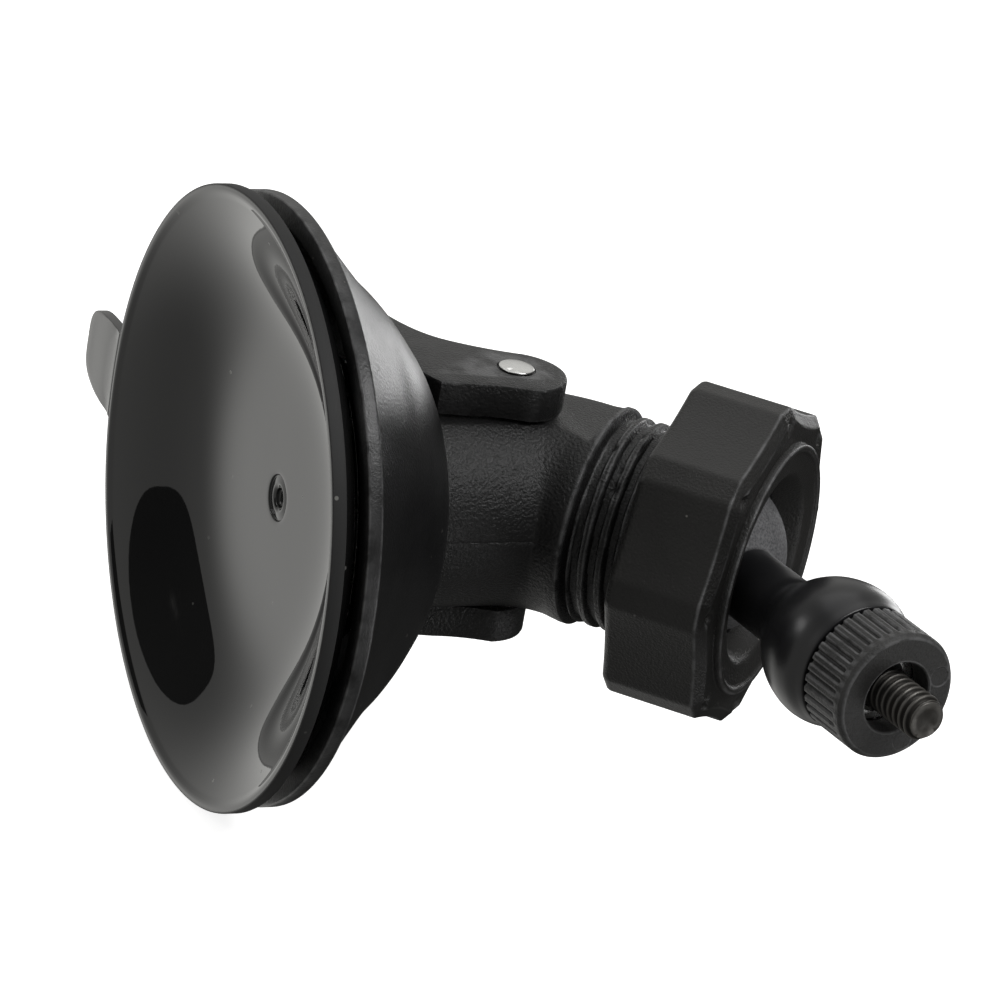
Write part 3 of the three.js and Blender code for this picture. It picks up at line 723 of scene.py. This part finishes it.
def clamp_nut():
    angles = turn(576)
    reach = {a: nut_reach(a) for a in angles}

    def body(inset_by, t):
        return lambda a: (reach[a] - inset_by, t)

    def face(part):
        """A row of the front face between the bevel and the lip, dented beside each corner."""
        def at(a):
            r = lerp(reach[a] - 1.75, LIP_R + 0.15, part)
            return r, NUT_FACE - corner_dent(a, r)
        return at

    def bevel(part):
        """A row of the bevel between the side and the front face."""
        def at(a):
            r = lerp(reach[a] - 0.12, reach[a] - 1.55, part)
            return r, lerp(NUT_BODY + 0.1, NUT_FACE - 0.06, part) - corner_dent(a, r)
        return at

    def wall(part):
        """The outer side, with the gate's scar on one face."""
        def at(a):
            t = lerp(NUT_T0 + 0.95, NUT_BODY - 0.12, part)
            r = reach[a]
            off, up = (a - GATE_AT) * 21.5, t - (NUT_T0 + 5.6)
            away = math.hypot(off / 1.1, up)
            r += 0.07 * math.exp(-((away - 2.2) / 0.35) ** 2) - 0.22 * math.exp(-(away / 0.8) ** 2)
            return r, t
        return at

    rows = [body(0.8, NUT_T0), body(0.55, NUT_T0 + 0.05), body(0.2, NUT_T0 + 0.35), body(0.05, NUT_T0 + 0.7)]
    rows += [wall(p) for p in span(0, 1, 46)]
    rows += [body(0.03, NUT_BODY)] + [bevel(p) for p in span(0, 1, 7)] + [face(p) for p in span(0, 1, 14)]
    rows += fillet([(LIP_R, NUT_FACE + 0.1), (LIP_R - 0.1, NUT_LIP + 0.1, 0.3),
                    (LIP_R - 0.9, NUT_LIP + 0.05, 0.3), (LIP_R - 1.3, NUT_LIP - 0.4, 0.3),
                    (MOUTH_R + 0.6, NUT_FACE + 0.35, 0.6),
                    (MOUTH_R, NUT_FACE - 0.1, 0.5), (10.9, RING_T1 + GAP + 0.4, 0.3), (11.1, RING_T1 + GAP),
                    (RING_OUT - 0.5, RING_T1 + GAP), (RING_OUT + 0.4, RING_T0 + 1.6, 0.4),
                    (RING_OUT + 0.4, TUBE_END + 0.8)])

    def inside(t):
        """A row of the nut's own thread."""
        def at(a):
            turns = (t - COLLAR_END - 0.3) / THREAD_PITCH - a / (2 * math.pi)
            return THREAD_CREST + 0.62 - 0.55 * (1 - thread_profile(turns, 0.42, 0.2)), t
        return at

    rows += [inside(t) for t in span(TUBE_END + 0.4, NUT_T0 + 1.0, 26)]
    rows += [(THREAD_CREST + 0.7, NUT_T0 + 0.7), (THREAD_CREST + 1.0, NUT_T0)]
    piece = polar("clamp_nut_body", rows, angles, NUT_AXIS, sharp=36, closed=True)
    return finish(piece, "clamp_nut", "nut", NUTTY)


# ---------- ball joint ----------
def ball_arm():
    last = math.pi - math.asin(NECK_R / BALL_R) - 0.03
    ball = [(BALL_R * math.sin(t), -BALL_R * math.cos(t)) for t in span(0, last, 60)]
    neck = curve_points([(NECK_R + 0.12, 10.55), (NECK_R, 11.4), (NECK_R, 15), (NECK_R + 0.04, 18),
                         (NECK_R + 0.15, 20.6), (5.7, 22.6), (6.9, 24.5), (8.2, 26.4), (9.2, 28.4),
                         (BOSS_R - 0.25, 30.6), (BOSS_R, 32.6),
                         (9.9, 34.6), (9.35, 36.3)], 7)
    end = fillet([(9.25, 36.6), (9.0, BOSS_END, 0.3), (4.2, BOSS_END), (STUD_R + 0.45, BOSS_END, 0.2),
                  (STUD_R + GAP, BOSS_END - 0.4), (STUD_R + GAP, STUD_T0 - GAP), (0, STUD_T0 - GAP)])
    piece = polar("ball_and_neck", ball + neck + end, turn(160), ARM_AXIS, sharp=40)
    return finish(piece, "ball_arm", "arm", ball_material(ARM_AXIS.translation * MM))


def ball_seat():
    end = BALL_T - 5.2
    r = BALL_R + GAP
    bowl = [(r * math.sin(t), BALL_T - r * math.cos(t)) for t in span(0, math.acos(5.2 / r), 30)]
    outside = fillet([(SOCKET_R - GAP, end), (SOCKET_R - GAP, SOCKET_FLOOR + GAP, 0.5),
                      (0, SOCKET_FLOOR + GAP)])
    piece = polar("ball_seat_cup", bowl + outside, turn(96), NUT_AXIS)
    return finish(piece, "ball_seat", "stem", SEAT)


def split_ring():
    r = BALL_R + GAP
    wall = [(math.sqrt(r * r - (t - BALL_T) ** 2), t) for t in span(RING_T1, RING_T0, 14)]
    outside = fillet([(RING_OUT - 0.3, RING_T0, 0.2), (RING_OUT, RING_T0 + 0.6, 0.3),
                      (RING_OUT - 0.9, RING_T1, 0.3), (12.0, RING_T1)])
    loop = wall + outside
    gap = math.asin(0.9 / 12.5)
    angles = span(gap, 2 * math.pi - gap, 140)
    verts = [(x, rr * math.cos(a), rr * math.sin(a)) for a in angles for rr, x in loop]
    n = len(loop)
    faces = [(i * n + k, i * n + (k + 1) % n, (i + 1) * n + (k + 1) % n, (i + 1) * n + k)
             for i in range(len(angles) - 1) for k in range(n)]
    faces += [tuple(range(n)), tuple(range((len(angles) - 1) * n, len(angles) * n))[::-1]]
    piece = make("split_clamp_ring", verts, faces, NUT_AXIS, 36)
    return finish(piece, "clamp_ring", "split_ring", INNER)


# ---------- stud and lock ring ----------
def stud():
    def row(s):
        """A row of the stud's helical thread, fading into its shank and its end."""
        def at(a):
            turns = s / STUD_PITCH - a / (2 * math.pi)
            r = STUD_ROOT + (STUD_R - STUD_ROOT) * thread_profile(turns, 0.12, 0.4)
            r = lerp(STUD_R, r, smooth((s - 40.3) / 0.8))
            fade = smooth((s - STUD_END + 0.95) / 0.95)
            return min(r, lerp(STUD_R, STUD_ROOT + 0.1, fade)), s
        return at

    rows = [(0, STUD_T0), (STUD_R - 0.3, STUD_T0), (STUD_R, STUD_T0 + 0.3), (STUD_R, 32), (STUD_R, 38)]
    rows += [row(s) for s in span(40.2, STUD_END - 0.05, 140)]
    rows += [(STUD_ROOT, STUD_END), (1.6, STUD_END - 0.01), (0, STUD_END - 0.03)]
    piece = polar("camera_stud", rows, turn(96), ARM_AXIS, sharp=50)
    return finish(piece, "threaded_stud", "arm", DARK)


def hex_reach(across_flats):
    """A hexagon's outline."""
    return lambda a: across_flats / 2 / math.cos((a % rad(60)) - rad(30))


def lock_ring_nut():
    reach = hex_reach(HEX_AF)

    def side(t, cut):
        """A row of the hexagon with its corners cut back."""
        return lambda a: (min(reach(a), HEX_AF / math.sqrt(3) - cut), t)

    r = STUD_R + 0.25
    rows = [side(LOCK_T0 + GAP, 0.35), side(LOCK_T0 + GAP + 0.4, 0.02), side(HEX_T1 - 0.4, 0.02),
            side(HEX_T1, 0.35), (r + 0.5, HEX_T1), (r, HEX_T1 - 0.5), (r, LOCK_T0 + GAP + 0.5),
            (r + 0.5, LOCK_T0 + GAP)]
    piece = polar("lock_nut_insert", rows, turn(120), ARM_AXIS, closed=True)
    return finish(piece, "lock_ring_nut", "locking_ring", BRIGHT)


def lock_ring():
    angles = turn(LOCK_RIDGES * 14)

    def knurl(s, strength):
        """A row of the ribbed side."""
        def at(a):
            p = abs((a * LOCK_RIDGES / (2 * math.pi)) % 1.0 - 0.5) * 2
            groove = smooth((p - 0.48) / 0.34)
            return LOCK_R - 0.02 - 0.42 * groove * strength, s
        return at

    def front(part):
        """A row of the front face, with its two ejector marks."""
        def at(a):
            r = lerp(LOCK_R - 0.62, LOCK_HOLE + 0.2, part)
            sink = 0
            for mark in EJECTOR_AT:
                away = math.hypot(r * math.cos(a) - MARK_R * math.cos(mark),
                                  r * math.sin(a) - MARK_R * math.sin(mark))
                sink += MARK_DEPTH * smooth((1.5 - away) / 0.18)
            return r, LOCK_T1 - sink
        return at

    pocket = hex_reach(HEX_AF + 0.5)
    rows = [(LOCK_R - 1.0, LOCK_T0), (LOCK_R - 0.7, LOCK_T0 + 0.03), knurl(LOCK_T0 + 0.25, 1)]
    rows += [knurl(s, 1) for s in span(LOCK_T0 + 0.6, LOCK_T1 - 2.2, 10)]
    rows += [knurl(LOCK_T1 - 1.95, 0.85), knurl(LOCK_T1 - 1.75, 0.3), knurl(LOCK_T1 - 1.6, 0),
             knurl(LOCK_T1 - 0.75, 0)]
    rows += [(LOCK_R - 0.08, LOCK_T1 - 0.6), (LOCK_R - 0.3, LOCK_T1 - 0.25), (LOCK_R - 0.52, LOCK_T1 - 0.05)]
    rows += [front(p) for p in span(0, 1, 24)]
    rows += [(LOCK_HOLE + 0.03, LOCK_T1 - 0.15), (LOCK_HOLE, LOCK_T1 - 0.35), (LOCK_HOLE, HEX_T1 + GAP),
             lambda a: (pocket(a), HEX_T1 + GAP), lambda a: (pocket(a), LOCK_T0)]
    piece = polar("lock_ring_knurled", rows, angles, ARM_AXIS, sharp=36, closed=True)
    return finish(piece, "lock_ring", "locking_ring", KNURL)


# ---------- hidden pieces ----------
def disc_core():
    outline = fillet([
        (0, CORE_X), (CORE_R - 8, CORE_X, 2), (CORE_R, CORE_X + 0.5, 0.4), (CORE_R, CORE_X + CORE_T, 0.5),
        (SHANK_R + 2, CORE_X + CORE_T, 0.4), (SHANK_R, CORE_X + CORE_T + 0.3, 0.3),
        (SHANK_R, SHANK_END - 0.6, 0.1), (SHANK_R - 0.6, SHANK_END, 0.1), (0, SHANK_END)])
    piece = polar("disc_core_moulding", outline, turn(128))
    boolean(piece, [rod("core_hole", PIN_R + 0.12, -10, 10)], "DIFFERENCE")
    return finish(piece, "disc_core", "stem", INNER)


def return_spring():
    start = CORE_X + CORE_T + SPRING_WIRE + 0.15
    end = HUB_X - 2.7 - SPRING_WIRE - 0.15
    steps, sides = 360, 20
    turns = SPRING_TURNS * 2 * math.pi
    verts, faces = [], []
    for i in range(steps + 1):
        t = i / steps
        a = t * turns
        rise = (end - start) / (turns * SPRING_R)
        x = lerp(start, end, t)
        out = Vector((0, math.cos(a), math.sin(a)))
        tangent = Vector((rise, -math.sin(a), math.cos(a))).normalized()
        side = tangent.cross(out)
        for k in range(sides):
            b = 2 * math.pi * k / sides
            p = Vector((x, 0, 0)) + out * (SPRING_R + SPRING_WIRE * math.cos(b))
            verts.append(tuple(p + side * (SPRING_WIRE * math.sin(b))))
    for i in range(steps):
        for k in range(sides):
            m = (k + 1) % sides
            faces.append((i * sides + k, i * sides + m, (i + 1) * sides + m, (i + 1) * sides + k))
    faces += [tuple(range(sides)), tuple(range(steps * sides, (steps + 1) * sides))[::-1]]
    piece = make("return_spring_wire", verts, faces, sharp=50)
    finish(piece, "return_spring", None, BRIGHT)
    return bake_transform(piece)


for build in (suction_disc, housing, cam_lever, lever_pin, elbow, clamp_nut, ball_arm, ball_seat, split_ring,
              stud, lock_ring_nut, lock_ring, disc_core, return_spring):
    build()

# ---------- camera ----------
# fitted to the outlines in the photograph: degrees, then millimetres
AZIMUTH, ELEVATION, ROLL, DISTANCE = -26.23, 22.98, 10.15, 775
SLIDE_RIGHT, SLIDE_UP, FOCAL, SENSOR = 38.75, -0.25, 206.67, 36
az, el = rad(AZIMUTH), rad(ELEVATION)
back = Vector((math.sin(az) * math.cos(el), -math.cos(az) * math.cos(el), math.sin(el)))
level = (-back).cross(Vector((0, 0, 1))).normalized()
up = level.cross(-back)
right = level * math.cos(rad(ROLL)) + up * math.sin(rad(ROLL))
top = up * math.cos(rad(ROLL)) - level * math.sin(rad(ROLL))
camera_data = bpy.data.cameras.new("camera")
camera_data.lens = FOCAL
camera_data.sensor_width = SENSOR
camera_data.clip_start = 0.01
camera_data.clip_end = 50
camera = bpy.data.objects.new("camera", camera_data)
spot = (back * DISTANCE + right * SLIDE_RIGHT + top * SLIDE_UP) * MM
camera.matrix_world = Matrix.Translation(spot) @ Matrix((right, top, back)).transposed().to_4x4()
bpy.context.scene.collection.objects.link(camera)
bpy.context.scene.camera = camera

# ---------- floor and light ----------
floor_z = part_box("suction_disc")[0].z - 0.0002
floor_mesh = bpy.data.meshes.new("floor")
FLOOR_HALF = 4
corners = [(-1, -1), (1, -1), (1, 1), (-1, 1)]
floor_mesh.from_pydata([(x * FLOOR_HALF, y * FLOOR_HALF, floor_z) for x, y in corners], [], [(0, 1, 2, 3)])
floor = bpy.data.objects.new("floor", floor_mesh)
bpy.context.scene.collection.objects.link(floor)
# the floor glows, so that it comes out nearly white
pale = Nodes("pale_floor")
pale.set(color=pale.mix(pale.noise(6, 3), (0.8, 0.8, 0.8), (0.84, 0.84, 0.84)), rough=0.9, specular=0.0)
pale.shader.inputs["Emission Color"].default_value = (1, 1, 1, 1)
pale.shader.inputs["Emission Strength"].default_value = 0.85
floor_mesh.materials.append(pale.material)
# reflections and bounced light pass it by, and so does the low softbox, which is below it
floor.visible_glossy = floor.visible_diffuse = floor.visible_shadow = False


def look_at(place, target):
    return (Vector(target) - Vector(place)).to_track_quat("-Z", "Y").to_euler()


def area_light(name, place, size, radiance, target=(0.03, 0, 0)):
    """A softbox of a given size and brightness that isn't seen itself."""
    data = bpy.data.lights.new(name, "AREA")
    data.shape = "RECTANGLE"
    data.size, data.size_y = size
    data.energy = radiance * math.pi * size[0] * size[1]
    lamp = bpy.data.objects.new(name, data)
    lamp.location = place
    lamp.rotation_euler = look_at(place, target)
    lamp.visible_camera = False
    bpy.context.scene.collection.objects.link(lamp)


def dark_card(place, long_way, size, sides=48):
    """A black oval card facing the object; only reflections see it."""
    facing = -Vector(place).normalized()
    along = Vector(long_way).normalized()
    across = facing.cross(along).normalized()
    outline = [Vector(place) + along * size[0] * math.cos(a) + across * size[1] * math.sin(a)
               for a in turn(sides)]
    mesh = bpy.data.meshes.new("dark_card")
    mesh.from_pydata([tuple(p) for p in outline], [], [tuple(range(sides))])
    sheet = bpy.data.objects.new("dark_card", mesh)
    bpy.context.scene.collection.objects.link(sheet)
    m = Nodes("dark_card")
    m.set(color=(0.0, 0.0, 0.0), rough=1.0, specular=0.0)
    mesh.materials.append(m.material)
    sheet.visible_camera = sheet.visible_diffuse = sheet.visible_shadow = False


def studio(base, lobes):
    """A dim room with soft bright and dark areas: lobes of (direction, starting cosine, strength)."""
    world = bpy.data.worlds.new("studio")
    world.use_nodes = True
    tree = world.node_tree

    def node(kind, operation, inputs):
        n = tree.nodes.new(kind)
        n.operation = operation
        for slot, value in inputs.items():
            if isinstance(value, bpy.types.NodeSocket):
                tree.links.new(value, n.inputs[slot])
            else:
                n.inputs[slot].default_value = value
        return n

    way = tree.nodes.new("ShaderNodeTexCoord").outputs["Generated"]
    total = base
    for direction, start, strength in lobes:
        unit = tuple(Vector(direction).normalized())
        toward = node("ShaderNodeVectorMath", "DOT_PRODUCT", {0: way, 1: unit}).outputs["Value"]
        share = node("ShaderNodeMath", "SUBTRACT", {0: toward, 1: start})
        share = node("ShaderNodeMath", "DIVIDE", {0: share.outputs[0], 1: 1 - start})
        share = node("ShaderNodeMath", "MAXIMUM", {0: share.outputs[0], 1: 0.0})
        share = node("ShaderNodeMath", "POWER", {0: share.outputs[0], 1: 2.0})
        inputs = {0: share.outputs[0], 1: strength, 2: total}
        total = node("ShaderNodeMath", "MULTIPLY_ADD", inputs).outputs[0]
    total = node("ShaderNodeMath", "MAXIMUM", {0: total, 1: 0.03}).outputs[0]
    tree.links.new(total, tree.nodes["Background"].inputs[1])
    tree.nodes["Background"].inputs[0].default_value = (1, 0.995, 0.965, 1)
    bpy.context.scene.world = world


area_light("top_softbox", (0.1, 0.22, 0.85), (0.7, 0.7), 0.8)
area_light("front_softbox", (0.33, -0.42, 0.62), (0.4, 0.36), 6.5)
area_light("low_right_softbox", (0.6, -0.6, -0.27), (0.3, 0.22), 4.0, (0.07, -0.07, 0))
area_light("back_right_softbox", (0.75, 0.62, 0.02), (0.24, 0.34), 4.2, (0.02, -0.015, 0.02))
area_light("left_softbox", (-0.78, 0.35, 0.5), (0.3, 0.25), 4.2, (0.062, -0.052, 0.004))
dark_card((-0.348, 0.199, -0.0014), (0.449, 0.854, 0.264), (0.157, 0.045))
studio(0.14, [((-0.12, 0.84, -0.53), 0.6, 0.9), ((-1, 0.35, 0), -0.1, 0.4), ((0.35, 0.75, 0.55), 0.45, 0.5),
              ((0.62, 0.65, -0.44), 0.72, -0.7)])
bpy.context.scene.view_settings.view_transform = "Standard"
